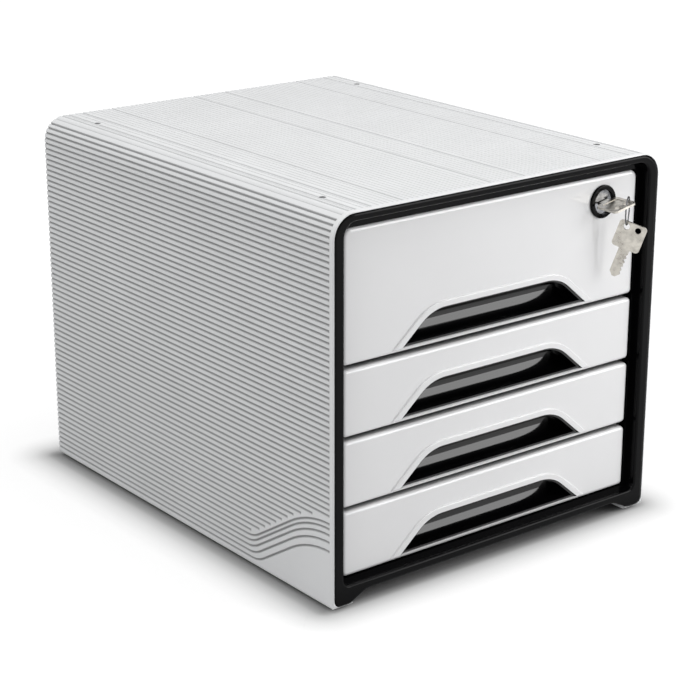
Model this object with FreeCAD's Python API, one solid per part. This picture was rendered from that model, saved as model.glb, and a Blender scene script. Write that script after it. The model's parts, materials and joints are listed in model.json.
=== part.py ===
import FreeCAD, Part
import math
import os
from FreeCAD import Vector

# Overall size, in millimetres: x across the front, y from front to back, z up from the desk
width = 288.0
depth = 353.0
height = 269.8

# Allowances shared by all pieces
overrun = 1.0            # how far a cutting shape runs past the faces that it cuts
clearance = 0.3          # gap between pieces that slide or drop past each other
press_gap = 0.12         # gap between pieces that are pushed together
tiny = 1.0e-6

# Case: one ribbed sleeve, open at both ends, that stands on two skids
case_wall = 2.5
foot_height = 2.2        # how far the rubber pads stand below the skids
top_radius = 17.0
skid_radius = 2.8
skid_width = 17.0
skid_height = 9.3
skid_nose = 3.5          # round of each skid's front end, seen from the side
cavity_radius = 1.0
case_lip = 1.2           # left round the bezel, which lies flush in the case's front end
case_edge_round = 0.9

# Ribs: the lands left between V grooves that run from front to back
rib_pitch = 4.05
side_groove_width = 2.1
side_groove_depth = 1.0
lowest_rib_height = 5.6  # above the skids' underside
rib_front_margin = 3.7
corner_rib_reach = 50.0  # degrees that the side's ribs climb round the upper corner
top_groove_width = 1.3
top_groove_depth = 0.35
line_groove_width = 2.2
line_groove_depth = 0.8
line_place_shares = (-0.93, -0.893, -0.855, -0.77, -0.594, -0.076, 0.132, 0.62, 0.81, 0.88)

# Wave: the lowest ribs sweep up towards the front and leave a smooth corner below them
wave_slope = 32.0        # degrees
wave_foot_radius = 25.0
wave_crest_radius = 80.0
wave_first_rise = 35.7
wave_spread = 6.4        # rise of the second wave over the first, which shrinks from wave to wave
wave_spread_share = 0.82
wave_count = 5
wave_clear_share = 0.9   # of the pitch, left between the top wave and the ribs that end at it

# Stacking dimples near the four upper corners, over the rubber pads
dimple_radius = 2.4
dimple_depth = 1.0
dimple_inset_x = 22.5
dimple_inset_y = 40.0

# Rubber pads
pad_width = 9.0
pad_length = 26.0
pad_pocket = 0.8

# Back panel
back_thickness = 2.0
back_recess = 1.5
back_rib_width = 1.6
back_rib_height = 1.2
back_rib_count = 5
back_rib_margin = 6.0

# Front bezel: a picture frame with a round ridge and a flat ring beside the drawers
ridge_width = 8.2        # at the sides
top_ridge_width = 5.4
low_ridge_width = 6.1
ring_width = 3.9         # at the sides
top_ring_width = 5.5
low_ring_width = 2.2
drawer_recess = 7.6      # from the ridge back to the ring and the drawers' faces
flange_depth = 3.0       # front to back of the bezel's flange, in front of its spigot
bezel_depth = 14.0
bezel_edge_round = 1.8
ridge_inner_round = 1.6
bezel_low_radius = 6.0
bezel_foot_width = 15.0
bezel_foot_height = 1.4  # from the skids' underside up to the bezel
bezel_arch_height = 6.9  # from the bezel's feet up to its arch
bezel_arch_slant = 14.0  # length over which each foot runs out into the arch
opening_top_radius = 6.0
opening_low_radius = 3.0

# Drawers: three shallow ones below a tall one
shallow_count = 3
drawer_gap = 3.2
drawer_pitch = 49.0
side_gap = 0.7           # between the bezel's opening and the drawers' faces
face_thickness = 3.0
shell_depth = 18.0       # front to back of each drawer's face shell
shell_wall = 2.2
face_round = 2.6
face_corner_radius = 3.2
tray_wall = 2.0
tray_side_gap = 4.5      # from the bezel's opening in to the tray's side
tray_floor_lift = 1.5    # tray's underside above the face's lower edge
tray_top_drop = 5.8      # tray's rim below the face's upper edge
tray_rear_gap = 9.5      # from the tray to the back panel
tray_front_radius = 2.0
tray_rear_radius = 8.0
flange_thickness = 2.0
lug_length = 5.0
lug_reach = 6.0
drawer_travel = 240.0
hook_width = 9.0
hook_thickness = 1.8
hook_reach = 4.2
hook_barb = 1.3
low_hook_place_share = 0.8    # of half the tray's width, beside the grip
high_hook_place_share = 0.5   # clear of the lock

# Drawer runners: a C-shaped channel for each tray's flange, on a side plate
runner_plate = 2.0
rail_thickness = 2.0
rail_gap = 1.0           # between the rails' tips and the tray's side
rail_play = 0.6          # above the flange
peg_length = 6.0

# Finger grip: a closed trapezoid window with a raised rim, and a scooped cup behind it
grip_lip = 3.3           # height of the face left below the window
grip_height = 21.6
grip_low_half = 82.5
grip_slant = 25.1        # how much narrower each side is at the top
grip_radius = 32.0
rim_width = 4.0
rim_height = 1.5
rim_round = 0.6
cup_wall = 1.5
cup_scoop = 14.2         # depth of the scoop behind the face

# Cam lock in the tall drawer
lock_from_right = 47.5   # lock axis to the cabinet's right side
lock_from_top = 30.7     # lock axis to the cabinet's top
collar_radius = 11.8
collar_height = 1.8
collar_round = 0.8
body_radius = 8.5
body_setback = 1.2       # body's face behind the collar's face
plug_radius = 6.5
plug_gap = 0.05
plug_setback = 0.3
keyway_width = 9.4
keyway_height = 2.5
nut_across = 22.0
nut_thickness = 2.6
tail_half = 2.6
tail_gap = 0.1
cam_thickness = 2.0
cam_reach = 24.0
cam_half_width = 4.5
screw_radius = 1.5
screw_head_radius = 3.6
screw_head_height = 1.8
screw_depth = 5.0
driver_slot_width = 0.9
driver_slot_depth = 0.8
strike_width = 22.0
strike_thickness = 3.0
strike_drop = 11.5
strike_base_length = 12.0
strike_gap = 1.0

# Keys and ring
key_thickness = 1.6
bow_width = 20.0
bow_length = 19.5
bow_radius = 2.6
blade_width = 7.6
blade_length = 21.0
blade_round = 0.8
tip_length = 3.0
tip_share = 0.3
cut_length = 3.0
cut_depth_shares = (0.24, 0.46, 0.18, 0.4, 0.3)
key_hole_radius = 2.2
key_hole_spread = 8.4    # between the bow's two holes
key_hole_inset = 3.9
key_stand_off = 3.0      # bow's shoulder to the lock body's face
key_rest_turn = -11.0    # degrees that the key stands off level, as it was left
bow_panel_inset = 3.0
bow_panel_depth = 0.25
ring_radius = 9.7
wire_radius = 0.5
ring_heading = 36.87     # degrees from the front's plane to the ring's plane
ring_lean = 39.0         # degrees that the wire leans in the key's hole

# Places worked out from the sizes above
half_width = width / 2
front_y = -depth / 2
back_y = depth / 2
skid_z = foot_height
flange_back = front_y + flange_depth
under_z = skid_z + skid_height
inner_half = half_width - case_wall
ceiling_z = height - case_wall
floor_z = under_z + case_wall
face_y = front_y + drawer_recess
bezel_half = half_width - case_lip
bezel_top = height - case_lip
opening_half = bezel_half - ridge_width - ring_width
opening_top = bezel_top - top_ridge_width - top_ring_width
shell_back = face_y + shell_depth
back_panel_y = back_y - back_recess - back_thickness
bezel_back = front_y + bezel_depth
bezel_foot_z = skid_z + bezel_foot_height
arch_z = bezel_foot_z + bezel_arch_height
face_half = opening_half - side_gap
opening_low = arch_z + low_ridge_width + low_ring_width
first_drawer_z = opening_low + side_gap
tray_half = opening_half - tray_side_gap
tray_rear = back_panel_y - tray_rear_gap
rail_tip = tray_half + rail_gap
plate_inner = inner_half - press_gap - runner_plate
rail_front = shell_back + clearance
lock_x = half_width - lock_from_right
lock_z = height - lock_from_top
collar_front = face_y - collar_height
body_front = collar_front + body_setback
wall_back = shell_back + tray_wall
nut_back = wall_back + nut_thickness
cam_y = nut_back + clearance
plug_front = body_front + plug_setback
key_length = bow_length + blade_length
key_end_y = body_front - key_stand_off - bow_length


def on_front(y):
    """Places an outline's (a, b) in the plane across the cabinet at this y."""
    return lambda point: Vector(point.x, y, point.y)


def on_side(x):
    """Places an outline's (a, b) in the front-to-back upright plane at this x."""
    return lambda point: Vector(x, point.x, point.y)


def on_floor(z):
    """Places an outline's (a, b) in the level plane at this z."""
    return lambda point: Vector(point.x, point.y, z)


def rounded_wire(corners, place):
    """Closed outline through corners (a, b, radius), each rounded by a tangent arc."""
    stations = []
    count = len(corners)
    for index in range(count):
        a, b, radius = corners[index]
        here = Vector(a, b, 0)
        last = corners[index - 1]
        following = corners[(index + 1) % count]
        back = (Vector(last[0], last[1], 0) - here).normalize()
        ahead = (Vector(following[0], following[1], 0) - here).normalize()
        if radius < tiny:
            stations.append((here, None, here))
            continue
        half_angle = back.getAngle(ahead) / 2
        reach = radius / math.tan(half_angle)
        bulge = radius / math.sin(half_angle) - radius
        middle = here + (back + ahead).normalize() * bulge
        stations.append((here + back * reach, middle, here + ahead * reach))
    edges = []
    for index in range(count):
        start, middle, end = stations[index]
        if middle is not None:
            edges.append(Part.Arc(place(start), place(middle), place(end)).toShape())
        target = stations[(index + 1) % count][0]
        if (target - end).Length > tiny:
            edges.append(Part.LineSegment(place(end), place(target)).toShape())
    return Part.Wire(edges)


def slab(corners, place, direction):
    """Solid of a rounded outline, extruded along a vector."""
    return Part.Face(rounded_wire(corners, place)).extrude(direction)


def block(low, high):
    """Solid box between two opposite corners."""
    size = high - low
    return Part.makeBox(size.x, size.y, size.z, low)


def rectangle(low_a, high_a, low_b, high_b, low_radius, high_radius):
    """Corners of a rectangle with its own radius for the lower and the upper pair."""
    return [
        (low_a, low_b, low_radius),
        (high_a, low_b, low_radius),
        (high_a, high_b, high_radius),
        (low_a, high_b, high_radius),
    ]


def mirrored(shape):
    """The same shape on the cabinet's other side."""
    return shape.mirror(Vector(0, 0, 0), Vector(1, 0, 0))


def y_cylinder(radius, start, end, x, z):
    """Cylinder along y between two places."""
    return Part.makeCylinder(radius, end - start, Vector(x, start, z), Vector(0, 1, 0))


def edges_at_y(shape, y):
    """The shape's edges that lie wholly at this y."""
    return [edge for edge in shape.Edges
            if abs(edge.BoundBox.YMin - y) < tiny and abs(edge.BoundBox.YMax - y) < tiny]


def sleeve_outline(inset):
    """Section of the case: round upper corners, two skids and a raised underside."""
    side = half_width - inset
    top = height - inset
    foot = skid_z + inset
    belly = under_z + inset
    step = half_width - skid_width + inset
    skid_corner = max(0, skid_radius - inset)
    return [
        (-side, top, top_radius - inset),
        (-side, foot, skid_corner),
        (-step, foot, 0),
        (-step, belly, 0),
        (step, belly, 0),
        (step, foot, 0),
        (side, foot, skid_corner),
        (side, top, top_radius - inset),
    ]


def cavity_outline(inset):
    """Section of the space inside the case, above its floor."""
    return rectangle(-inner_half + inset, inner_half - inset, floor_z + inset, ceiling_z - inset,
                     cavity_radius, top_radius - case_wall - inset)


def skid_channel():
    """Hollow of the left skid, from behind its solid nose to the rear end."""
    start = front_y + skid_nose + case_wall
    corners = [
        (-inner_half, skid_z + case_wall, max(0, skid_radius - case_wall)),
        (-half_width + skid_width - case_wall, skid_z + case_wall, 0),
        (-half_width + skid_width - case_wall, floor_z + overrun, 0),
        (-inner_half, floor_z + overrun, 0),
    ]
    return slab(corners, on_front(start), Vector(0, back_y + overrun - start, 0))


def nose_cut():
    """What is taken off the skids' front ends to leave them round."""
    corner = block(Vector(-half_width - overrun, front_y - overrun, skid_z - overrun),
                   Vector(half_width + overrun, front_y + skid_nose, skid_z + skid_nose))
    kept = Part.makeCylinder(skid_nose, width + 4 * overrun,
                             Vector(-half_width - 2 * overrun, front_y + skid_nose,
                                    skid_z + skid_nose), Vector(1, 0, 0))
    return corner.cut(kept)


def side_surface(z):
    """Place on the left side's surface and the way out of it; beyond the corner, z is travel."""
    past = z - (height - top_radius)
    if past <= 0:
        return Vector(-half_width, 0, z), Vector(-1, 0, 0)
    angle = past / top_radius
    outward = Vector(-math.cos(angle), 0, math.sin(angle))
    centre = Vector(top_radius - half_width, 0, height - top_radius)
    return centre + outward * top_radius, outward


def side_groove_section(z, y):
    """V section of a groove in the left side, at this height."""
    surface, outward = side_surface(z)
    spread = side_groove_width / 2 * (1 + overrun / side_groove_depth)
    along = Vector(-outward.z, 0, outward.x) * spread
    middle = surface + outward * overrun + Vector(0, y, 0)
    bottom = surface - outward * side_groove_depth + Vector(0, y, 0)
    return Part.makePolygon([middle - along, bottom, middle + along, middle - along])


def straight_side_groove(z, front):
    """Groove along the left side from this y to behind the case."""
    length = back_y + overrun - front
    return Part.Face(side_groove_section(z, front)).extrude(Vector(0, length, 0))


def wave_rise(index):
    """How far wave number index climbs: the crests crowd together towards the top."""
    crest = wave_first_rise
    for step in range(index):
        crest += wave_spread * wave_spread_share ** step
    return crest - index * rib_pitch


def wave_places(rise):
    """(y, climbed height) where a wave's foot ends and where its crest begins."""
    slope = math.radians(wave_slope)
    foot_climb = wave_foot_radius * (1 - math.cos(slope))
    crest_climb = wave_crest_radius * (1 - math.cos(slope))
    crest_y = front_y + rib_front_margin + wave_crest_radius * math.sin(slope)
    run = (rise - foot_climb - crest_climb) / math.tan(slope)
    return crest_y + run, foot_climb, crest_y, rise - crest_climb


def wave_groove(z, rise):
    """Groove that runs level, turns up on an arc, climbs and levels out at the front."""
    slope = math.radians(wave_slope)
    half = slope / 2
    front = front_y + rib_front_margin
    foot_y, foot_climb, crest_y, crest_climb = wave_places(rise)
    turn_y = foot_y + wave_foot_radius * math.sin(slope)

    def at(y, climbed):
        return Vector(-half_width, y, z + climbed)

    turn = at(turn_y, 0)
    foot_middle = at(turn_y - wave_foot_radius * math.sin(half),
                     wave_foot_radius * (1 - math.cos(half)))
    foot_end = at(foot_y, foot_climb)
    crest_start = at(crest_y, crest_climb)
    crest_middle = at(front + wave_crest_radius * math.sin(half),
                      rise - wave_crest_radius * (1 - math.cos(half)))
    path = Part.Wire([
        Part.LineSegment(at(back_y + overrun, 0), turn).toShape(),
        Part.Arc(turn, foot_middle, foot_end).toShape(),
        Part.LineSegment(foot_end, crest_start).toShape(),
        Part.Arc(crest_start, crest_middle, at(front, rise)).toShape(),
    ])
    return path.makePipeShell([side_groove_section(z, back_y + overrun)], True, False)


def wave_reach(rise, climbed):
    """How far forward, as y, a wave has come where it has climbed this high."""
    front = front_y + rib_front_margin
    if climbed >= rise:
        return front
    slope = math.radians(wave_slope)
    foot_y, foot_climb, crest_y, crest_climb = wave_places(rise)
    if climbed >= crest_climb:
        lever = wave_crest_radius - (rise - climbed)
        return front + math.sqrt(wave_crest_radius ** 2 - lever ** 2)
    if climbed >= foot_climb:
        return foot_y - (climbed - foot_climb) / math.tan(slope)
    lever = wave_foot_radius - max(0, climbed)
    return foot_y + wave_foot_radius * math.sin(slope) - math.sqrt(wave_foot_radius ** 2
                                                                   - lever ** 2)


def side_grooves():
    """All grooves of the left side, from the lowest wave to the last rib on the corner."""
    first = skid_z + lowest_rib_height
    last = height - top_radius + top_radius * math.radians(corner_rib_reach)
    top_wave = wave_count - 1
    clear = wave_clear_share * rib_pitch
    grooves = []
    index = 0
    z = first
    while z < last:
        if index < wave_count:
            grooves.append(wave_groove(z, wave_rise(index)))
        else:
            climbed = (index - top_wave) * rib_pitch - clear
            grooves.append(straight_side_groove(z, wave_reach(wave_rise(top_wave), climbed)))
        index += 1
        z = first + index * rib_pitch
    return grooves


def top_surface(x):
    """Height of the case's upper surface over this x."""
    past = abs(x) - (half_width - top_radius)
    if past <= 0:
        return height
    return height - top_radius + math.sqrt(top_radius ** 2 - past ** 2)


def top_groove(x, groove_width, groove_depth):
    """V groove along the top at this x."""
    spread = groove_width / 2 * (1 + overrun / groove_depth)
    surface = top_surface(x)
    front = front_y + rib_front_margin
    corners = [
        (x - spread, surface + overrun, 0),
        (x, surface - groove_depth, 0),
        (x + spread, surface + overrun, 0),
    ]
    length = back_y + overrun - front
    return slab(corners, on_front(front), Vector(0, length, 0))


def top_grooves():
    """Fine ribs all over the top, and a few deeper lines among them."""
    lines = [share * half_width for share in line_place_shares]
    grooves = [top_groove(x, line_groove_width, line_groove_depth) for x in lines]
    limit = half_width - top_radius
    per_side = int(limit / rib_pitch)
    for index in range(-per_side, per_side + 1):
        x = index * rib_pitch
        if min(abs(x - line) for line in lines) > (top_groove_width + line_groove_width) / 2:
            grooves.append(top_groove(x, top_groove_width, top_groove_depth))
    return grooves


def corner_places():
    """The four places of the stacking dimples and the pads."""
    reach_x = half_width - dimple_inset_x
    reach_y = depth / 2 - dimple_inset_y
    return [(side * reach_x, end * reach_y) for side in (-1, 1) for end in (-1, 1)]


def pad_centre_x(side):
    """Middle of a skid's flat underside."""
    return side * (half_width - (skid_radius + skid_width) / 2)


def pad_outline(x, y, grow):
    """Outline of a rubber pad with round ends."""
    half = pad_width / 2 + grow
    reach = pad_length / 2 + grow
    return rectangle(x - half, x + half, y - reach, y + reach, half - tiny * 10, half - tiny * 10)


def case_sleeve():
    """Ribbed case: a sleeve with skids, grooves on its sides and top, and dimples."""
    length = back_y - front_y
    outer = slab(sleeve_outline(0), on_front(front_y), Vector(0, length, 0))
    outer = outer.makeFillet(case_edge_round, edges_at_y(outer, front_y))
    inner = slab(cavity_outline(0), on_front(front_y - overrun),
                 Vector(0, length + 2 * overrun, 0))
    rebate = slab(bezel_outline(press_gap), on_front(front_y - overrun),
                  Vector(0, flange_depth + press_gap + overrun, 0))
    left = side_grooves() + [skid_channel()]
    cutters = [inner, rebate, nose_cut()] + left + [mirrored(shape) for shape in left] + top_grooves()
    for x, y in corner_places():
        cutters.append(Part.makeCylinder(dimple_radius, dimple_depth + overrun,
                                         Vector(x, y, height - dimple_depth)))
        pocket = pad_outline(pad_centre_x(math.copysign(1, x)), y, press_gap)
        cutters.append(slab(pocket, on_floor(skid_z - overrun),
                            Vector(0, 0, pad_pocket + overrun)))
    return outer.cut(cutters)


def rubber_feet():
    """Four soft pads in pockets under the skids."""
    pads = []
    for x, y in corner_places():
        outline = pad_outline(pad_centre_x(math.copysign(1, x)), y, 0)
        pads.append(slab(outline, on_floor(0), Vector(0, 0, skid_z + pad_pocket - press_gap)))
    return Part.makeCompound(pads)


def back_panel():
    """Panel inside the sleeve's rear end, stiffened by upright ribs on its inner face."""
    outline = sleeve_outline(case_wall + press_gap)
    panel = slab(outline, on_front(back_panel_y), Vector(0, back_thickness, 0))
    low = floor_z + back_rib_margin
    high = ceiling_z - top_radius
    ribs = []
    spacing = 2 * tray_half / (back_rib_count + 1)
    for index in range(back_rib_count):
        x = -tray_half + (index + 1) * spacing
        ribs.append(block(Vector(x - back_rib_width / 2, back_panel_y - back_rib_height, low),
                          Vector(x + back_rib_width / 2, back_panel_y, high)))
    return panel.fuse(ribs).removeSplitter()


def bezel_outline(grow):
    """Front frame's outline: round corners and two low feet beside a shallow arch."""
    side = bezel_half + grow
    top = bezel_top + grow
    foot = bezel_foot_z - grow
    arch = arch_z - grow
    step = half_width - bezel_foot_width
    arch_x = step - bezel_arch_slant
    high_radius = top_radius - case_lip + grow
    low_radius = bezel_low_radius + grow
    return [
        (-side, top, high_radius),
        (-side, foot, low_radius),
        (-step, foot, bezel_arch_slant),
        (-arch_x, arch, bezel_arch_slant),
        (arch_x, arch, bezel_arch_slant),
        (step, foot, bezel_arch_slant),
        (side, foot, low_radius),
        (side, top, high_radius),
    ]


def window_outline():
    """The bezel's window, in which the drawers stand."""
    return rectangle(-opening_half, opening_half, opening_low, opening_top,
                     opening_low_radius, opening_top_radius)


def ring_outline():
    """Outer edge of the flat ring round the window, at the foot of the ridge."""
    side = opening_half + ring_width
    return rectangle(-side, side, opening_low - low_ring_width, opening_top + top_ring_width,
                     opening_low_radius + low_ring_width, opening_top_radius + ring_width)


def front_bezel():
    """Frame with a rounded ridge, a recessed ring round its window and a spigot in the case."""
    plate = slab(bezel_outline(0), on_front(front_y), Vector(0, flange_depth, 0))
    plate = plate.makeFillet(bezel_edge_round, edges_at_y(plate, front_y))
    spigot = slab(cavity_outline(press_gap), on_front(flange_back - overrun),
                  Vector(0, bezel_depth - flange_depth + overrun, 0))
    mouth = slab(ring_outline(), on_front(front_y - overrun),
                 Vector(0, drawer_recess + overrun, 0))
    window = slab(window_outline(), on_front(front_y - overrun),
                  Vector(0, bezel_depth + 2 * overrun, 0))
    frame = plate.fuse(spigot).cut([mouth, window])
    side = opening_half + ring_width + ridge_inner_round
    low = opening_low - low_ring_width - ridge_inner_round
    inner_edges = [edge for edge in edges_at_y(frame, front_y)
                   if abs(edge.CenterOfMass.x) < side and low < edge.CenterOfMass.z
                   and edge.CenterOfMass.z < opening_top + top_ring_width + tiny]
    return frame.makeFillet(ridge_inner_round, inner_edges)


def drawer_levels():
    """(name, lower edge, upper edge) of each drawer's face, from the top down."""
    names = ["bottom", "third", "second"]
    levels = []
    for index in range(shallow_count):
        low = first_drawer_z + index * drawer_pitch
        levels.append((names[index], low, low + drawer_pitch - drawer_gap))
    low = first_drawer_z + shallow_count * drawer_pitch
    levels.append(("top", low, opening_top - side_gap))
    return levels[::-1]


def grip_outline(low, grow):
    """Trapezoid of a finger grip above this lower edge, grown all round."""
    slant = math.atan2(grip_slant, grip_height)
    base = low + grip_lip - grow
    side_growth = grow / math.cos(slant) + grow * math.tan(slant)
    low_half = grip_low_half + side_growth
    top_half = low_half - grip_slant * (grip_height + 2 * grow) / grip_height
    top = low + grip_lip + grip_height + grow
    radius = grip_radius + grow
    return [(-low_half, base, 0), (low_half, base, 0), (top_half, top, radius),
            (-top_half, top, radius)]


def hook_places(low, high):
    """(x, z, outward) of a face's four snap hooks; outward is the way its barb points."""
    low_z = low + tray_floor_lift + 3 * tray_wall
    high_z = high - tray_top_drop - 3 * tray_wall
    low_x = low_hook_place_share * tray_half
    high_x = high_hook_place_share * tray_half
    return [(-low_x, low_z, -1), (low_x, low_z, -1), (-high_x, high_z, 1), (high_x, high_z, 1)]


def hooks(low, high):
    """Snap hooks that reach through the tray's front wall and catch behind it."""
    shapes = []
    half = hook_width / 2
    start = shell_back - overrun
    end = shell_back + hook_reach
    ledge = wall_back + press_gap
    for x, z, outward in hook_places(low, high):
        inner = z - hook_thickness / 2 * outward
        outer = z + hook_thickness / 2 * outward
        corners = [
            (start, inner, 0),
            (end, inner, 0),
            (end, outer, 0),
            (ledge, outer + hook_barb * outward, 0),
            (ledge, outer, 0),
            (start, outer, 0),
        ]
        shapes.append(slab(corners, on_side(x - half), Vector(hook_width, 0, 0)))
    return shapes


def hook_slots(low, high):
    """Slots in the tray's front wall for the snap hooks."""
    half = hook_width / 2 + clearance
    reach = hook_thickness / 2 + clearance
    return [block(Vector(x - half, shell_back - overrun, z - reach),
                  Vector(x + half, wall_back + overrun, z + reach))
            for x, z, _ in hook_places(low, high)]


def drawer_front(low, high, top_radius_here):
    """Glossy face shell: a plate with four walls behind, a grip window and its rim."""
    outline = rectangle(-face_half, face_half, low, high, face_corner_radius, top_radius_here)
    shell = slab(outline, on_front(face_y), Vector(0, shell_depth, 0))
    shell = shell.makeFillet(face_round, edges_at_y(shell, face_y))
    wall = shell_wall
    hollow = rectangle(-face_half + wall, face_half - wall, low + wall, high - wall,
                       max(0, face_corner_radius - wall), max(0, top_radius_here - wall))
    shell = shell.cut(slab(hollow, on_front(face_y + face_thickness),
                           Vector(0, shell_depth, 0)))
    rim = slab(grip_outline(low, rim_width), on_front(face_y - rim_height),
               Vector(0, rim_height + face_thickness, 0))
    below = block(Vector(-half_width, face_y - 2 * rim_height, low - rim_width),
                  Vector(half_width, shell_back, low + face_round))
    rim = rim.cut(below)
    rim = rim.makeFillet(rim_round, edges_at_y(rim, face_y - rim_height))
    window = slab(grip_outline(low, 0), on_front(face_y - overrun - rim_height),
                  Vector(0, face_thickness + rim_height + 2 * overrun, 0))
    return shell.fuse([rim] + hook_roots(low, high) + hooks(low, high)).cut(window) \
        .removeSplitter()


def hook_roots(low, high):
    """Webs from the face shell's lower and upper walls to its snap hooks."""
    roots = []
    half = hook_width / 2
    for x, z, outward in hook_places(low, high):
        wall = high - shell_wall / 2 if outward > 0 else low + shell_wall / 2
        hook = z - hook_thickness / 2 * outward
        roots.append(block(Vector(x - half, shell_back - 2 * hook_thickness, min(wall, hook)),
                           Vector(x + half, shell_back - press_gap, max(wall, hook))))
    return roots


def grip_cup(low):
    """Black cup behind a grip window: a channel scooped on a round section, closed at its ends."""
    flange_y = face_y + face_thickness + press_gap
    back = shell_back - press_gap
    block_outline = grip_outline(low, cup_wall)
    cup = slab(block_outline, on_front(flange_y), Vector(0, back - flange_y, 0))
    nose = slab(grip_outline(low, -press_gap), on_front(face_y + press_gap),
                Vector(0, face_thickness, 0))
    floor_level = low + shell_wall + press_gap
    trim = block(Vector(-half_width, front_y, floor_level - drawer_pitch),
                 Vector(half_width, back_y, floor_level))
    half_chord = grip_height / 2 - press_gap
    radius = (cup_scoop ** 2 + half_chord ** 2) / (2 * cup_scoop)
    centre_y = face_y + cup_scoop - radius
    centre_z = low + grip_lip + grip_height / 2
    scoop = Part.makeCylinder(radius - press_gap, width, Vector(-half_width, centre_y, centre_z),
                              Vector(1, 0, 0))
    inside = slab(grip_outline(low, -cup_wall), on_front(front_y), Vector(0, depth, 0))
    return cup.fuse(nose).removeSplitter().cut(trim).cut(scoop.common(inside))


def tray(low, high):
    """Open tray with flanges that run in the channels and lugs that stop it at full reach."""
    bottom = low + tray_floor_lift
    rim = high - tray_top_drop
    outer = [
        (-tray_half, shell_back, tray_front_radius),
        (tray_half, shell_back, tray_front_radius),
        (tray_half, tray_rear, tray_rear_radius),
        (-tray_half, tray_rear, tray_rear_radius),
    ]
    inner = [
        (-tray_half + tray_wall, shell_back + tray_wall, tray_front_radius),
        (tray_half - tray_wall, shell_back + tray_wall, tray_front_radius),
        (tray_half - tray_wall, tray_rear - tray_wall, tray_rear_radius - tray_wall),
        (-tray_half + tray_wall, tray_rear - tray_wall, tray_rear_radius - tray_wall),
    ]
    shell = slab(outer, on_floor(bottom), Vector(0, 0, rim - bottom))
    flange_end = tray_rear - tray_rear_radius
    flange = block(Vector(tray_half - tray_wall, shell_back + tray_front_radius,
                          rim - flange_thickness),
                   Vector(face_half, flange_end, rim))
    lug = block(Vector(tray_half - tray_wall, flange_end - lug_length, rim - flange_thickness),
                Vector(face_half + lug_reach, flange_end, rim))
    side = flange.fuse(lug)
    shell = shell.fuse([side, mirrored(side)])
    hollow = slab(inner, on_floor(bottom + tray_wall), Vector(0, 0, rim - bottom))
    return shell.cut([hollow] + hook_slots(low, high)).removeSplitter()


def top_drawer_tray(low, high):
    """The tall tray, with the lock's bore in its front wall."""
    bore = y_cylinder(body_radius + press_gap, shell_back - overrun, wall_back + overrun,
                      lock_x, lock_z)
    return tray(low, high).cut(bore)


def top_drawer_front(low, high):
    """The tall face, with larger upper corners and the lock's bore."""
    bore = y_cylinder(body_radius + press_gap, face_y - overrun, shell_back, lock_x, lock_z)
    return drawer_front(low, high, opening_top_radius).cut(bore)


def right_runner():
    """Side plate with a channel for each tray's flange and a peg that stops its lug."""
    outside = inner_half - press_gap
    low = floor_z + press_gap
    high = ceiling_z - top_radius
    plate = block(Vector(plate_inner, bezel_back + clearance, low),
                  Vector(outside, back_panel_y - back_rib_height - clearance, high))
    rail_rear = back_panel_y - back_rib_height - clearance
    shapes = []
    for _, face_low, face_high in drawer_levels():
        rim = face_high - tray_top_drop
        under = rim - flange_thickness - clearance
        over = rim + rail_play
        for bottom in (under - rail_thickness, over):
            shapes.append(block(Vector(rail_tip, rail_front, bottom),
                                Vector(outside, rail_rear, bottom + rail_thickness)))
        peg_rear = (tray_rear - tray_rear_radius - lug_length) - drawer_travel - clearance
        shapes.append(block(Vector(face_half + side_gap, peg_rear - peg_length, under),
                            Vector(outside, peg_rear, over)))
    return plate.fuse(shapes).removeSplitter()


def lock_collar():
    """Black ring round the lock's face."""
    ring = y_cylinder(collar_radius, collar_front, face_y, lock_x, lock_z)
    ring = ring.makeFillet(collar_round, edges_at_y(ring, collar_front))
    return ring.cut(y_cylinder(body_radius + press_gap, collar_front - overrun, face_y + overrun,
                               lock_x, lock_z))


def lock_body():
    """Lock housing: a barrel through the face and the tray's wall."""
    barrel = y_cylinder(body_radius, body_front, nut_back, lock_x, lock_z)
    return barrel.cut(y_cylinder(plug_radius + plug_gap, body_front - overrun, nut_back + overrun,
                                 lock_x, lock_z))


def lock_nut():
    """Hexagonal nut that clamps the lock against the tray's front wall."""
    reach = nut_across / 2 / math.cos(math.radians(30))
    corners = []
    for index in range(6):
        angle = math.radians(60 * index)
        corners.append((lock_x + reach * math.cos(angle), lock_z + reach * math.sin(angle), 0))
    nut = slab(corners, on_front(wall_back), Vector(0, nut_thickness, 0))
    return nut.cut(y_cylinder(body_radius + press_gap, wall_back - overrun, nut_back + overrun,
                              lock_x, lock_z))


def turned(shape):
    """The shape at the turn that the key was left at."""
    copy = shape.copy()
    copy.rotate(Vector(lock_x, 0, lock_z), Vector(0, 1, 0), key_rest_turn)
    return copy


def square_tail(half, start, end):
    """Square bar along the lock's axis."""
    return block(Vector(lock_x - half, start, lock_z - half),
                 Vector(lock_x + half, end, lock_z + half))


def lock_plug():
    """Plug with its keyway in front and a square tail for the cam behind."""
    plug = y_cylinder(plug_radius, plug_front, nut_back, lock_x, lock_z)
    tail = square_tail(tail_half, nut_back - overrun, cam_y + cam_thickness - press_gap)
    blade_room = key_end_y + key_length + overrun
    keyway = block(Vector(lock_x - keyway_width / 2, plug_front - overrun,
                          lock_z - keyway_height / 2),
                   Vector(lock_x + keyway_width / 2, blade_room, lock_z + keyway_height / 2))
    thread = y_cylinder(screw_radius + press_gap, nut_back - screw_depth / 2,
                        cam_y + cam_thickness + overrun, lock_x, lock_z)
    return turned(plug.fuse(tail).removeSplitter().cut([keyway, thread]))


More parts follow.
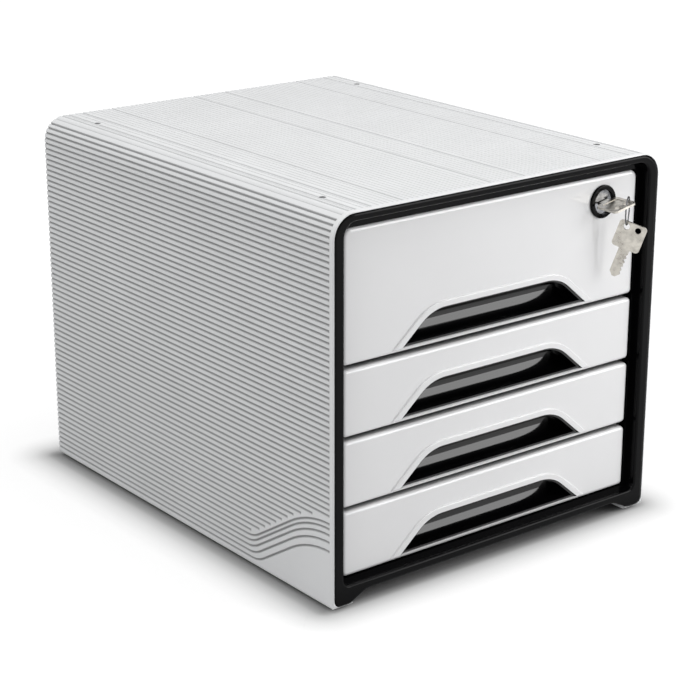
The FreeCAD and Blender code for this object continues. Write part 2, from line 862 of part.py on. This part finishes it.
def lock_cam():
    """Cam on the plug's tail: it lies level when open and points up when locked."""
    corners = [
        (lock_x + cam_half_width, lock_z - cam_half_width, cam_half_width / 2),
        (lock_x + cam_half_width, lock_z + cam_half_width, cam_half_width / 2),
        (lock_x - cam_reach, lock_z + cam_half_width, cam_half_width / 2),
        (lock_x - cam_reach, lock_z - cam_half_width, cam_half_width / 2),
    ]
    cam = slab(corners, on_front(cam_y), Vector(0, cam_thickness, 0))
    return turned(cam.cut(square_tail(tail_half + tail_gap, cam_y - overrun,
                                      cam_y + cam_thickness + overrun)))


def cam_screw():
    """Screw that holds the cam on the plug."""
    head_front = cam_y + cam_thickness
    head = y_cylinder(screw_head_radius, head_front, head_front + screw_head_height,
                      lock_x, lock_z)
    head = head.makeFillet(screw_head_height / 2,
                           edges_at_y(head, head_front + screw_head_height))
    shank = y_cylinder(screw_radius, nut_back - screw_depth / 2 + clearance, head_front,
                       lock_x, lock_z)
    half = driver_slot_width / 2
    slot = block(Vector(lock_x - screw_head_radius, head_front + screw_head_height
                        - driver_slot_depth, lock_z - half),
                 Vector(lock_x + screw_head_radius, head_front + 2 * screw_head_height,
                        lock_z + half))
    return turned(head.fuse(shank).removeSplitter().cut(slot))


def lock_strike():
    """Bracket under the case's top that the raised cam catches behind."""
    front = cam_y - strike_gap - strike_thickness
    low_x = lock_x - strike_width / 2
    ceiling = ceiling_z - press_gap
    corners = [
        (front, ceiling, 0),
        (front, ceiling - strike_drop, 0),
        (front + strike_thickness, ceiling - strike_drop, 0),
        (front + strike_thickness, ceiling - strike_thickness, strike_thickness / 2),
        (front + strike_base_length, ceiling - strike_thickness, 0),
        (front + strike_base_length, ceiling, 0),
    ]
    return slab(corners, on_side(low_x), Vector(strike_width, 0, 0))


def key_blank():
    """Key lying flat: its bow's end at the origin, its blade along y, level at z 0."""
    half_bow = bow_width / 2
    half_blade = blade_width / 2
    tip_half = half_blade * tip_share
    corners = [
        (-half_bow, 0, bow_radius),
        (half_bow, 0, bow_radius),
        (half_bow, bow_length, bow_radius),
        (half_blade, bow_length, blade_round),
    ]
    place = bow_length + cut_length
    for share in cut_depth_shares:
        corners.append((half_blade, place, 0))
        corners.append((half_blade - share * blade_width / 2, place + cut_length / 2, 0))
        place += cut_length
    corners += [
        (half_blade, place, 0),
        (tip_half, key_length, blade_round),
        (-tip_half, key_length, blade_round),
        (-half_blade, key_length - tip_length, blade_round),
        (-half_blade, bow_length, blade_round),
        (-half_bow, bow_length, bow_radius),
    ]
    blank = slab(corners, on_floor(-key_thickness / 2), Vector(0, 0, key_thickness))
    cutters = []
    for side in (-1, 1):
        centre = Vector(side * key_hole_spread / 2, key_hole_inset, -key_thickness)
        cutters.append(Part.makeCylinder(key_hole_radius, 2 * key_thickness, centre))
    panel = rectangle(-half_bow + bow_panel_inset, half_bow - bow_panel_inset,
                      key_hole_inset + key_hole_radius + bow_panel_inset / 2,
                      bow_length - bow_panel_inset, bow_radius / 2, bow_radius / 2)
    for level in (key_thickness / 2 - bow_panel_depth, -key_thickness / 2 - overrun):
        cutters.append(slab(panel, on_floor(level), Vector(0, 0, bow_panel_depth + overrun)))
    return blank.cut(cutters)


def key_in_lock():
    """The key that was left in the lock."""
    key = key_blank()
    key.translate(Vector(lock_x, key_end_y, lock_z))
    return turned(key)


def ring_hole():
    """Centre of the hole of the key in the lock that carries the ring."""
    turn = math.radians(key_rest_turn)
    offset = key_hole_spread / 2
    return Vector(lock_x + offset * math.cos(turn), key_end_y + key_hole_inset,
                  lock_z - offset * math.sin(turn))


def ring_plane():
    """Level direction in the ring's plane, to the right and back."""
    heading = math.radians(ring_heading)
    return Vector(math.cos(heading), math.sin(heading), 0)


def ring_centre():
    """Centre of the ring, whose wire passes through the middle of the key's hole."""
    lean = math.radians(ring_lean)
    return (ring_hole() + ring_plane() * (ring_radius * math.cos(lean))
            - Vector(0, 0, 1) * (ring_radius * math.sin(lean)))


def key_ring():
    """Plain wire ring that hangs in the key's hole."""
    normal = ring_plane().cross(Vector(0, 0, 1))
    return Part.makeTorus(ring_radius, wire_radius, ring_centre(), normal)


def spare_key():
    """Spare key, hung by one hole of its bow with its weight below the ring's lowest point."""
    key = key_blank()
    hole = Vector(-key_hole_spread / 2, key_hole_inset, 0)
    lever = key.Solids[0].CenterOfMass - hole
    tilt = math.degrees(math.atan2(lever.x, lever.y))
    key.rotate(hole, Vector(0, 0, 1), tilt)
    key.translate(hole * -1)
    key.rotate(Vector(0, 0, 0), Vector(1, 0, 0), -90)
    key.rotate(Vector(0, 0, 0), Vector(0, 0, 1), ring_heading - 90)
    drop = key_hole_radius - wire_radius - clearance
    key.translate(ring_centre() - Vector(0, 0, ring_radius + drop))
    return key


def save(name, shape):
    """Writes one sub-part and says what it holds."""
    shape.exportStep(os.path.join("parts", name + ".step"))
    box = shape.BoundBox
    print("%-22s solids %d valid %s volume %9.1f  x %7.1f %7.1f  y %7.1f %7.1f  z %7.1f %7.1f" % (
        name, len(shape.Solids), shape.isValid(), shape.Volume, box.XMin, box.XMax, box.YMin,
        box.YMax, box.ZMin, box.ZMax))


def drawer_pieces():
    """Face, tray and cup of every drawer."""
    pieces = {}
    for name, low, high in drawer_levels():
        if name == "top":
            front = top_drawer_front(low, high)
            inside = top_drawer_tray(low, high)
        else:
            front = drawer_front(low, high, face_corner_radius)
            inside = tray(low, high)
        pieces[name + "_drawer_front"] = front
        pieces[name + "_drawer_tray"] = inside
        pieces[name + "_drawer_cup"] = grip_cup(low)
    return pieces


def all_pieces():
    """Every sub-part by name, with y 0 in the middle of the case's depth."""
    runner = right_runner()
    pieces = {
        "case_sleeve": case_sleeve(),
        "rubber_feet": rubber_feet(),
        "back_panel": back_panel(),
        "front_bezel": front_bezel(),
        "right_runner": runner,
        "left_runner": mirrored(runner),
        "lock_strike": lock_strike(),
    }
    pieces.update(drawer_pieces())
    pieces.update({
        "lock_collar": lock_collar(),
        "lock_body": lock_body(),
        "lock_nut": lock_nut(),
        "lock_plug": lock_plug(),
        "lock_cam": lock_cam(),
        "cam_screw": cam_screw(),
        "lock_key": key_in_lock(),
        "key_ring": key_ring(),
        "spare_key": spare_key(),
    })
    return pieces


def main():
    """Moves the origin under the middle of the whole object, keys included, and saves."""
    os.makedirs("parts", exist_ok=True)
    pieces = all_pieces()
    foremost = min(shape.BoundBox.YMin for shape in pieces.values())
    shift = -(foremost + back_y) / 2
    print("shift", shift)
    for name, shape in pieces.items():
        shape.translate(Vector(0, shift, 0))
        save(name, shape)


main()
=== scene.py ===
import json
import math

import bpy
from mathutils import Matrix, Vector

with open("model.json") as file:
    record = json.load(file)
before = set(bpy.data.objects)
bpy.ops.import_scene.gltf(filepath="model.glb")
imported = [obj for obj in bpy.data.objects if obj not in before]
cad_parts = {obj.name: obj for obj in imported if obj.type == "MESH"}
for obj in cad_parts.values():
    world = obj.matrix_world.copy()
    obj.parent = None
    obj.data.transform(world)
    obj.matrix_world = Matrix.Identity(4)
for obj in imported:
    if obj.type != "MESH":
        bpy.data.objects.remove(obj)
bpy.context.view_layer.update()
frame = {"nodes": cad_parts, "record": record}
nodes = frame["nodes"]

# Camera, fitted to the photograph: place in metres, angles in degrees, focal length and centre
# in the photograph's pixels
IMAGE_WIDTH = 700.0
CAMERA_PLACE = Vector((-0.8510, -1.0850, 0.5811))
CAMERA_HEADING = 38.264
CAMERA_DIP = 18.489
CAMERA_ROLL = 0.185
FOCAL_PIXELS = 1961.97
PRINCIPAL_U = 354.34
PRINCIPAL_V = 334.09
SENSOR_MM = 36.0

# Soft lamps in metres and watts: name, place, target, width, height, strength
LAMPS = [
    ("right softbox", (0.45, -0.35, 1.7), (0, 0, 0.1), 1.3, 1.3, 9.5),
    ("left softbox", (-0.75, -0.05, 1.5), (-0.1, 0, 0.1), 1.0, 1.2, 10),
    ("side fill", (-1.7, -0.25, 0.5), (-0.144, 0, 0.13), 1.2, 1.0, 4.7),
    ("front panel", (0.64, -0.8, 0.42), (0.1, -0.15, 0.14), 0.5, 0.7, 5.7),
]
SKY_LEVEL = 0.3

# Floor: how white it is, how much of that the lamps light, and what it throws back on the case
FLOOR_HALF = 30.0
FLOOR_WHITE = 0.93
FLOOR_LIT_SHARE = 0.3
FLOOR_BOUNCE = 0.55

# Floor's own light, dimmed near the case as painted shadow: (metres from the footprint, level), and
# the feet's set-back at the front
GLOW_LEVELS = [(0, 0.02), (0.005, 0.11), (0.01, 0.32), (0.02, 0.56), (0.03, 0.7), (0.04, 0.78),
               (0.4, 0.9), (0.8, 1)]
FRONT_SET_BACK = 0.009

# Painted shade between close walls: reach in metres, and (openness, share of the colour that is kept)
GROOVE_REACH = 0.0022
GROOVE_SHADE = [(0.72, 0.42), (0.97, 1)]
GAP_REACH = 0.009
GAP_SHADE = [(0.04, 0.02), (0.15, 0.2), (0.33, 1)]
# Painted contact shadow on the floor around the case
CONTACT_REACH = 0.05
CONTACT_SHADE = [(0.03, 0.01), (0.065, 0.18), (0.09, 0.35), (0.13, 0.66), (0.2, 1)]


def srgb(value):
    """Linear level of an sRGB grey from 0 to 255."""
    share = value / 255
    if share <= 0.04045:
        return share / 12.92
    return ((share + 0.055) / 1.055) ** 2.4


def tone(red, green, blue):
    """Linear colour of an sRGB triple."""
    return (srgb(red), srgb(green), srgb(blue), 1)


def grey(level):
    """Linear grey."""
    return (level, level, level, 1)


def shaded(colour, share):
    """The colour brightened or darkened by a share."""
    return tuple(channel * (1 + share) for channel in colour[:3]) + (1,)


class Shader:
    """A material's node tree, with short calls for the nodes that these finishes use."""

    def __init__(self, name):
        self.material = bpy.data.materials.new(name)
        self.material.use_nodes = True
        self.tree = self.material.node_tree
        self.tree.nodes.clear()
        self.output = self.tree.nodes.new("ShaderNodeOutputMaterial")
        self.surface = self.tree.nodes.new("ShaderNodeBsdfPrincipled")
        self.link(self.surface.outputs[0], self.output.inputs["Surface"])
        self.place = self.tree.nodes.new("ShaderNodeTexCoord").outputs["Object"]

    def link(self, source, target):
        self.tree.links.new(source, target)

    def set(self, **values):
        """Fixed values on the shader's own sockets."""
        for name, value in values.items():
            self.surface.inputs[name.replace("_", " ")].default_value = value

    def stretched(self, scale):
        """Object coordinates scaled along each axis."""
        mapping = self.tree.nodes.new("ShaderNodeMapping")
        mapping.inputs["Scale"].default_value = scale
        self.link(self.place, mapping.inputs["Vector"])
        return mapping.outputs["Vector"]

    def noise(self, size, detail=3.0, roughness=0.5, stretch=None):
        """Noise whose features are about this large, in metres, stretched along the axes if asked."""
        node = self.tree.nodes.new("ShaderNodeTexNoise")
        node.inputs["Scale"].default_value = 1 / size
        node.inputs["Detail"].default_value = detail
        node.inputs["Roughness"].default_value = roughness
        self.link(self.stretched(stretch) if stretch else self.place, node.inputs["Vector"])
        return node.outputs["Fac"]

    def ramp(self, source, stops):
        """Colour ramp through (position, colour) stops."""
        node = self.tree.nodes.new("ShaderNodeValToRGB")
        elements = node.color_ramp.elements
        elements[0].position, elements[0].color = stops[0]
        elements[1].position, elements[1].color = stops[-1]
        for position, colour in stops[1:-1]:
            elements.new(position).color = colour
        self.link(source, node.inputs["Fac"])
        return node.outputs["Color"]

    def spread(self, source, low, high):
        """Source from 0..1 mapped to low..high."""
        node = self.tree.nodes.new("ShaderNodeMapRange")
        node.inputs["To Min"].default_value = low
        node.inputs["To Max"].default_value = high
        self.link(source, node.inputs["Value"])
        return node.outputs["Result"]

    def vector(self, operation, source, second=None):
        """Vector arithmetic on a source, with a second source or fixed numbers if given."""
        node = self.tree.nodes.new("ShaderNodeVectorMath")
        node.operation = operation
        self.link(source, node.inputs[0])
        if isinstance(second, tuple):
            node.inputs[1].default_value = second
        elif second is not None:
            self.link(second, node.inputs[1])
        return node.outputs["Value" if operation == "LENGTH" else "Vector"]

    def product(self, colour, factor):
        """Colour multiplied by another colour, or by three fixed numbers."""
        return self.vector("MULTIPLY", colour, factor)

    def crevice_shade(self, reach, stops):
        """Painted shade: share of the colour that is kept between close walls, by (openness, share)
        stops.
        """
        near = self.tree.nodes.new("ShaderNodeAmbientOcclusion")
        near.inputs["Distance"].default_value = reach
        return self.ramp(near.outputs["AO"], [(openness, grey(share)) for openness, share in stops])

    def bump(self, source, height, previous=None):
        """Bump of this height in metres, over an earlier one if given."""
        node = self.tree.nodes.new("ShaderNodeBump")
        node.inputs["Distance"].default_value = height
        self.link(source, node.inputs["Height"])
        if previous is not None:
            self.link(previous, node.inputs["Normal"])
        return node.outputs["Normal"]

    def colour(self, source):
        self.link(source, self.surface.inputs["Base Color"])

    def roughness(self, source):
        self.link(source, self.surface.inputs["Roughness"])

    def normal(self, source):
        self.link(source, self.surface.inputs["Normal"])

    def polish(self, rough, waviness):
        """Sheen of a polished mould: uneven in patches, over long faint waves and a trace of haze."""
        self.roughness(self.spread(self.noise(size=0.02, detail=6, roughness=0.65),
                                   low=rough * 0.75, high=rough * 1.3))
        waves = self.bump(self.noise(size=0.03, detail=1), waviness)
        self.normal(self.bump(self.noise(size=0.0006, detail=2), waviness / 40, waves))


def moulded_plastic(name, colour, low_rough, high_rough, grain_size, grain_height):
    """Moulded plastic: faint flow clouds in the colour, painted shade in the grooves and a fine
    grain.
    """
    shader = Shader(name)
    clouds = shader.ramp(shader.noise(size=0.055, detail=4), [
        (0.3, shaded(colour, -0.025)),
        (0.55, colour),
        (0.75, shaded(colour, 0.02)),
    ])
    # Painted shade: the colour is darkened in the grooves and other narrow hollows
    shader.colour(shader.product(clouds, shader.crevice_shade(GROOVE_REACH, GROOVE_SHADE)))
    shader.roughness(shader.spread(shader.noise(size=0.012, detail=5, roughness=0.6),
                                   low_rough, high_rough))
    grain = shader.noise(grain_size, detail=2, roughness=0.7)
    shader.normal(shader.bump(grain, grain_height))
    return shader.material


def gloss_plastic(name, colour, rough, waviness):
    """Polished plastic: a deep gloss with long faint mould waves, and painted shade in narrow gaps.
    """
    shader = Shader(name)
    clouds = shader.ramp(shader.noise(size=0.08, detail=3), [
        (0.35, shaded(colour, -0.012)),
        (0.7, shaded(colour, 0.012)),
    ])
    # Painted shade: the colour is darkened in the narrow gaps between parts
    shader.colour(shader.product(clouds, shader.crevice_shade(GAP_REACH, GAP_SHADE)))
    shader.polish(rough, waviness)
    shader.set(Coat_Weight=0.35, Coat_Roughness=0.05)
    return shader.material


def black_plastic(name, colour, rough, waviness, reflection):
    """Polished black plastic with faint mould waves and its own depth of reflection."""
    shader = Shader(name)
    shader.colour(shader.ramp(shader.noise(size=0.06, detail=4), [
        (0.3, shaded(colour, -0.15)),
        (0.75, shaded(colour, 0.25)),
    ]))
    shader.polish(rough, waviness)
    shader.set(Specular_IOR_Level=reflection)
    return shader.material


def soft_rubber(name, colour):
    """Matte rubber with a dusty bloom."""
    shader = Shader(name)
    bloom = shader.noise(size=0.004, detail=5, roughness=0.65)
    shader.colour(shader.ramp(bloom, [(0.3, colour), (0.8, shaded(colour, 0.6))]))
    shader.roughness(shader.spread(bloom, low=0.7, high=0.9))
    shader.normal(shader.bump(shader.noise(size=0.0004), height=0.00002))
    return shader.material


def plated_metal(name, colour, low_rough, high_rough, dulled=0.08, brush=(1, 1, 1)):
    """Plated metal with small dulled patches and fine polish lines."""
    shader = Shader(name)
    patches = shader.noise(size=0.006, detail=5, roughness=0.6)
    shader.colour(shader.ramp(patches, [
        (0.35, shaded(colour, -dulled)),
        (0.65, shaded(colour, dulled / 2)),
    ]))
    shader.roughness(shader.spread(patches, low_rough, high_rough))
    lines = shader.noise(size=0.0008, detail=3, roughness=0.7, stretch=brush)
    shader.normal(shader.bump(lines, height=0.000004))
    shader.set(Metallic=1.0)
    return shader.material


def finishes():
    """One material for each of the record's slots, and a deeper black gloss for the cups."""
    return {
        "case_plastic": moulded_plastic(
            "case plastic", tone(223, 224, 225), low_rough=0.38, high_rough=0.5,
            grain_size=0.0005, grain_height=0.000012),
        "inner_plastic": moulded_plastic(
            "inner plastic", tone(205, 206, 207), low_rough=0.45, high_rough=0.6,
            grain_size=0.0007, grain_height=0.00002),
        "tray_plastic": moulded_plastic(
            "tray plastic", tone(38, 38, 40), low_rough=0.35, high_rough=0.5,
            grain_size=0.0006, grain_height=0.000015),
        "front_gloss": gloss_plastic(
            "front gloss", tone(230, 230, 231), rough=0.09, waviness=0.00003),
        "black_gloss": black_plastic(
            "black gloss", tone(5, 5, 6), rough=0.12, waviness=0.00002, reflection=0.08),
        "cup_gloss": black_plastic(
            "cup gloss", tone(6, 6, 7), rough=0.1, waviness=0.00002, reflection=0.38),
        "foot_rubber": soft_rubber("foot rubber", tone(38, 38, 39)),
        "zinc_plate": plated_metal(
            "zinc plate", tone(196, 198, 201), low_rough=0.28, high_rough=0.42),
        "lock_chrome": plated_metal(
            "lock chrome", tone(128, 129, 132), low_rough=0.12, high_rough=0.24, dulled=0.35),
        "key_steel": plated_metal(
            "key nickel", tone(186, 182, 174), low_rough=0.18, high_rough=0.4, dulled=0.3,
            brush=(1, 1, 0.2)),
        "ring_wire": plated_metal(
            "ring wire", tone(96, 96, 99), low_rough=0.2, high_rough=0.32),
    }


def dress(materials):
    """Gives every node of the model its slot's material, and the cups their deeper gloss."""
    for entry in frame["record"]["subparts"]:
        piece = nodes[entry["node"]]
        finish = "cup_gloss" if entry["node"].endswith("_cup") else entry["material_slot"]
        piece.data.materials.clear()
        piece.data.materials.append(materials[finish])


def lamp(name, place, target, width, height, strength):
    """Rectangular soft light at a place, turned towards a target."""
    light = bpy.data.lights.new(name, "AREA")
    light.shape = "RECTANGLE"
    light.size = width
    light.size_y = height
    light.energy = strength
    holder = bpy.data.objects.new(name, light)
    holder.location = place
    holder.rotation_euler = (Vector(target) - Vector(place)).to_track_quat("-Z", "Y").to_euler()
    bpy.context.scene.collection.objects.link(holder)


def shown_mix(tree, lit, white):
    """Shader that is white where the camera, a reflection or glass sees it, else lit."""
    path = tree.nodes.new("ShaderNodeLightPath")
    seen = path.outputs["Is Camera Ray"]
    for kind in ("Is Glossy Ray", "Is Transmission Ray"):
        either = tree.nodes.new("ShaderNodeMath")
        either.operation = "MAXIMUM"
        tree.links.new(seen, either.inputs[0])
        tree.links.new(path.outputs[kind], either.inputs[1])
        seen = either.outputs[0]
    mix = tree.nodes.new("ShaderNodeMixShader")
    tree.links.new(seen, mix.inputs["Fac"])
    tree.links.new(lit, mix.inputs[1])
    tree.links.new(white, mix.inputs[2])
    return mix.outputs[0]


def sky():
    """White surroundings for the eye and reflections, a low even light for the rest."""
    world = bpy.data.worlds.new("studio")
    bpy.context.scene.world = world
    world.use_nodes = True
    tree = world.node_tree
    tree.nodes.clear()
    levels = []
    for level in (SKY_LEVEL, 1):
        background = tree.nodes.new("ShaderNodeBackground")
        background.inputs["Color"].default_value = grey(1)
        background.inputs["Strength"].default_value = level
        levels.append(background.outputs[0])
    output = tree.nodes.new("ShaderNodeOutputWorld")
    tree.links.new(shown_mix(tree, *levels), output.inputs["Surface"])


def glow_with_painted_shadow(shader):
    """Floor's own light, dimmed near the case's footprint as a painted shadow and rising with the
    distance from it.
    """
    corners = [Vector(corner) for corner in nodes["case_sleeve"].bound_box]
    low = Vector(min(corner[axis] for corner in corners) for axis in range(3))
    high = Vector(max(corner[axis] for corner in corners) for axis in range(3))
    low.y += FRONT_SET_BACK
    middle = (low + high) / 2
    from_middle = shader.vector("SUBTRACT", shader.place, (middle.x, middle.y, 0))
    beyond = shader.vector("SUBTRACT", shader.vector("ABSOLUTE", from_middle),
                           (high.x - middle.x, high.y - middle.y, 0))
    distance = shader.vector("LENGTH", shader.vector("MAXIMUM", beyond, (0, 0, 0)))
    reach = GLOW_LEVELS[-1][0]
    away = shader.tree.nodes.new("ShaderNodeMapRange")
    away.inputs["From Max"].default_value = reach
    shader.link(distance, away.inputs["Value"])
    return shader.ramp(away.outputs["Result"],
                       [(metres / reach, grey(level)) for metres, level in GLOW_LEVELS])


def floor():
    """Large pale floor that keeps the shadow, carries a painted shadow around the case, and glows
    just enough to render white.
    """
    mesh = bpy.data.meshes.new("floor")
    mesh.from_pydata([(-FLOOR_HALF, -FLOOR_HALF, 0), (FLOOR_HALF, -FLOOR_HALF, 0),
                      (FLOOR_HALF, FLOOR_HALF, 0), (-FLOOR_HALF, FLOOR_HALF, 0)],
                     [], [(0, 1, 2, 3)])
    plane = bpy.data.objects.new("floor", mesh)
    bpy.context.scene.collection.objects.link(plane)
    shader = Shader("floor")
    tree = shader.tree
    tree.nodes.remove(shader.surface)
    bounce = tree.nodes.new("ShaderNodeBsdfDiffuse")
    bounce.inputs["Color"].default_value = grey(FLOOR_BOUNCE)
    # Painted contact shadow: the floor's lit colour and glow are darkened near the case
    painted_contact_shadow = shader.crevice_shade(CONTACT_REACH, CONTACT_SHADE)
    lit = tree.nodes.new("ShaderNodeBsdfDiffuse")
    lit_white = grey(FLOOR_WHITE * FLOOR_LIT_SHARE)[:3]
    shader.link(shader.product(painted_contact_shadow, lit_white), lit.inputs["Color"])
    glow = tree.nodes.new("ShaderNodeEmission")
    shader.link(shader.product(painted_contact_shadow, glow_with_painted_shadow(shader)), glow.inputs["Color"])
    shown = tree.nodes.new("ShaderNodeAddShader")
    shader.link(lit.outputs[0], shown.inputs[0])
    shader.link(glow.outputs[0], shown.inputs[1])
    shader.link(shown_mix(tree, bounce.outputs[0], shown.outputs[0]),
                shader.output.inputs["Surface"])
    plane.data.materials.append(shader.material)


def camera():
    """The photograph's camera."""
    heading = math.radians(CAMERA_HEADING)
    dip = math.radians(CAMERA_DIP)
    roll = math.radians(CAMERA_ROLL)
    level = Vector((math.sin(heading), math.cos(heading), 0))
    forward = level * math.cos(dip) - Vector((0, 0, math.sin(dip)))
    right = Vector((math.cos(heading), -math.sin(heading), 0))
    up = right.cross(forward)
    turned_right = right * math.cos(roll) + up * math.sin(roll)
    turned_up = up * math.cos(roll) - right * math.sin(roll)
    data = bpy.data.cameras.new("camera")
    data.sensor_width = SENSOR_MM
    data.lens = FOCAL_PIXELS / IMAGE_WIDTH * SENSOR_MM
    data.shift_x = (IMAGE_WIDTH / 2 - PRINCIPAL_U) / IMAGE_WIDTH
    data.shift_y = (PRINCIPAL_V - IMAGE_WIDTH / 2) / IMAGE_WIDTH
    view = bpy.data.objects.new("camera", data)
    basis = Matrix((turned_right, turned_up, -forward)).transposed().to_4x4()
    view.matrix_world = Matrix.Translation(CAMERA_PLACE) @ basis
    bpy.context.scene.collection.objects.link(view)
    bpy.context.scene.camera = view


def main():
    dress(finishes())
    sky()
    floor()
    for settings in LAMPS:
        lamp(*settings)
    camera()
    bpy.context.scene.view_settings.view_transform = "Standard"


main()
